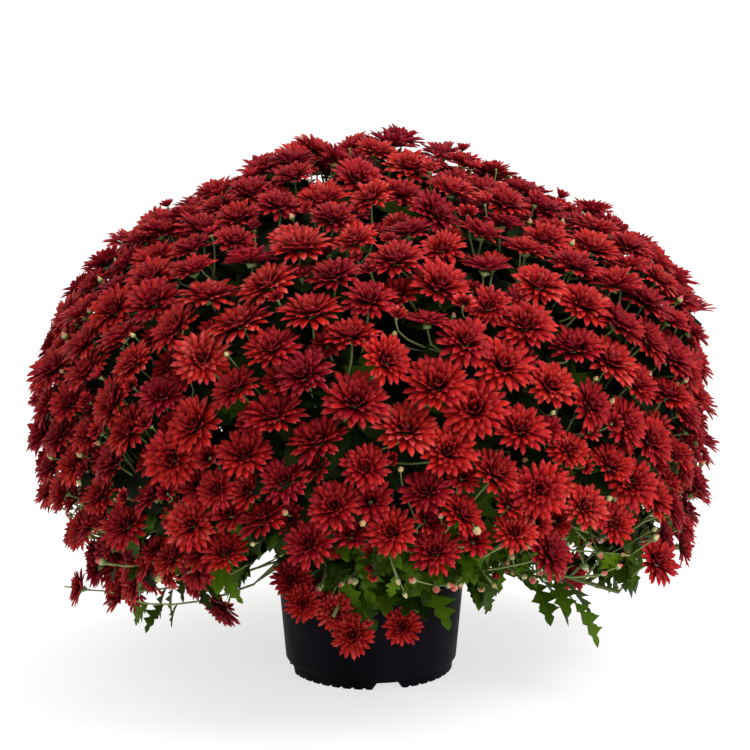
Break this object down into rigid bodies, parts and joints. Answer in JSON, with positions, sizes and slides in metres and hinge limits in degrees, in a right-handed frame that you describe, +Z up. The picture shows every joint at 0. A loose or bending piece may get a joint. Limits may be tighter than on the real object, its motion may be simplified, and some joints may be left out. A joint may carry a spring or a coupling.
{
  "type": "potted chrysanthemum",
  "caption": "Broad dome of a garden chrysanthemum in full bloom, its layered flower heads in sprays on leafy stems, rooted in soil in a low round nursery pot.",
  "frame": {"origin": "middle of the pot's underside, on the flat pad level with the foot ring", "axes": "+Z up along the pot's axis, -Y towards the side where the blooms stop highest and the skirt is bare leaves"},
  "size_m": [0.7012, 0.7018, 0.5604],
  "materials": {
    "pot": "thin black thermoformed plastic, satin",
    "soil": "dark peat potting soil",
    "leaf": "dull green leaves and stems",
    "bloom": "velvety crimson petals"
  },
  "bodies": {
    "root": {"leafy_stem_01": "leaf", "leafy_stem_02": "leaf", "leafy_stem_03": "leaf", "leafy_stem_04": "leaf", "leafy_stem_05": "leaf", "leafy_stem_06": "leaf", "leafy_stem_07": "leaf", "leafy_stem_08": "leaf", "leafy_stem_09": "leaf", "leafy_stem_10": "leaf", "leafy_stem_11": "leaf", "leafy_stem_12": "leaf", "leafy_stem_13": "leaf", "leafy_stem_14": "leaf", "leafy_stem_15": "leaf", "leafy_stem_16": "leaf", "leafy_stem_17": "leaf", "leafy_stem_18": "leaf", "leafy_stem_19": "leaf", "leafy_stem_20": "leaf", "leafy_stem_21": "leaf", "leafy_stem_22": "leaf", "leafy_stem_23": "leaf", "leafy_stem_24": "leaf", "leafy_stem_25": "leaf", "leafy_stem_26": "leaf", "leafy_stem_27": "leaf", "leafy_stem_28": "leaf", "pot": "pot", "soil": "soil", "spray_01": "bloom", "spray_02": "bloom", "spray_03": "bloom", "spray_04": "bloom", "spray_05": "bloom", "spray_06": "bloom", "spray_07": "bloom", "spray_08": "bloom", "spray_09": "bloom", "spray_10": "bloom", "spray_11": "bloom", "spray_12": "bloom", "spray_13": "bloom", "spray_14": "bloom", "spray_15": "bloom", "spray_16": "bloom", "spray_17": "bloom", "spray_18": "bloom", "spray_19": "bloom", "spray_20": "bloom", "spray_21": "bloom", "spray_22": "bloom", "spray_23": "bloom", "spray_24": "bloom", "spray_25": "bloom", "spray_27": "bloom", "spray_28": "bloom"}
  },
  "joints": []
}
